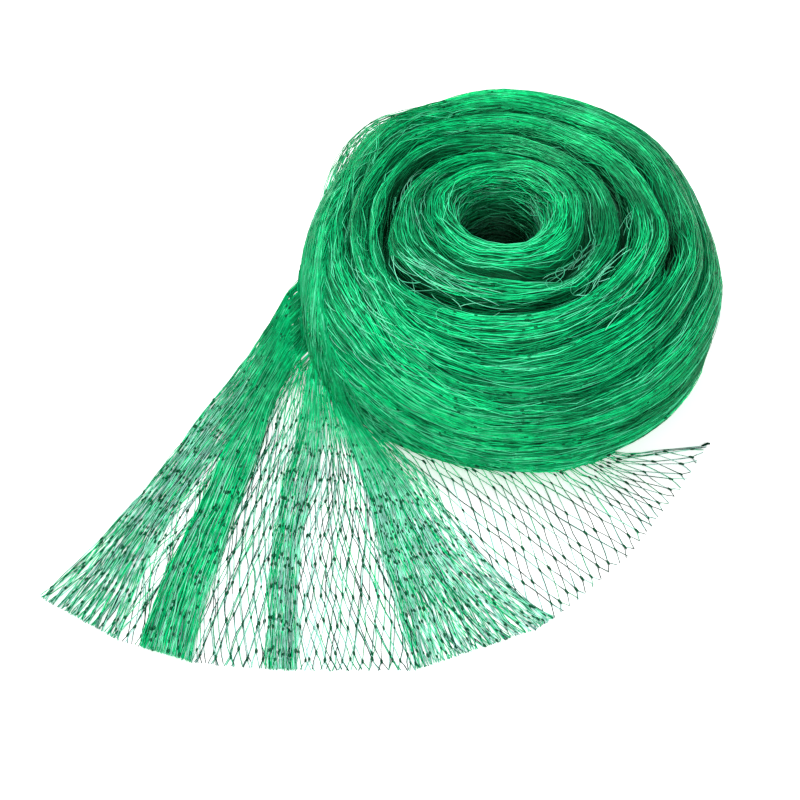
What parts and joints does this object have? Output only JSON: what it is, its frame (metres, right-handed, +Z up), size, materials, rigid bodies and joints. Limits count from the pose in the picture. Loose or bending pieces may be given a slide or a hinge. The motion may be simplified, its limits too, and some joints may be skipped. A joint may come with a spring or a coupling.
{
  "type": "bird netting roll",
  "caption": "Knotted mesh netting wound into an upright hollow roll of uneven turns, its loose end peeled off at one side and spread flat in front as a fan.",
  "frame": {"origin": "middle of the footprint, on the surface that the roll stands on", "axes": "+Z up along the roll's axis, -Y towards the fanned loose end, +X to the right seen from the fan"},
  "size_m": [0.3844, 0.3774, 0.1089],
  "materials": {
    "wound_net": "green nylon monofilament, wound tight, glossy strands with dark gaps between",
    "spread_net": "green nylon monofilament knotted mesh, open and see-through"
  },
  "bodies": {
    "root": {"net_roll": "wound_net", "net_loose_end": "spread_net"}
  },
  "joints": []
}
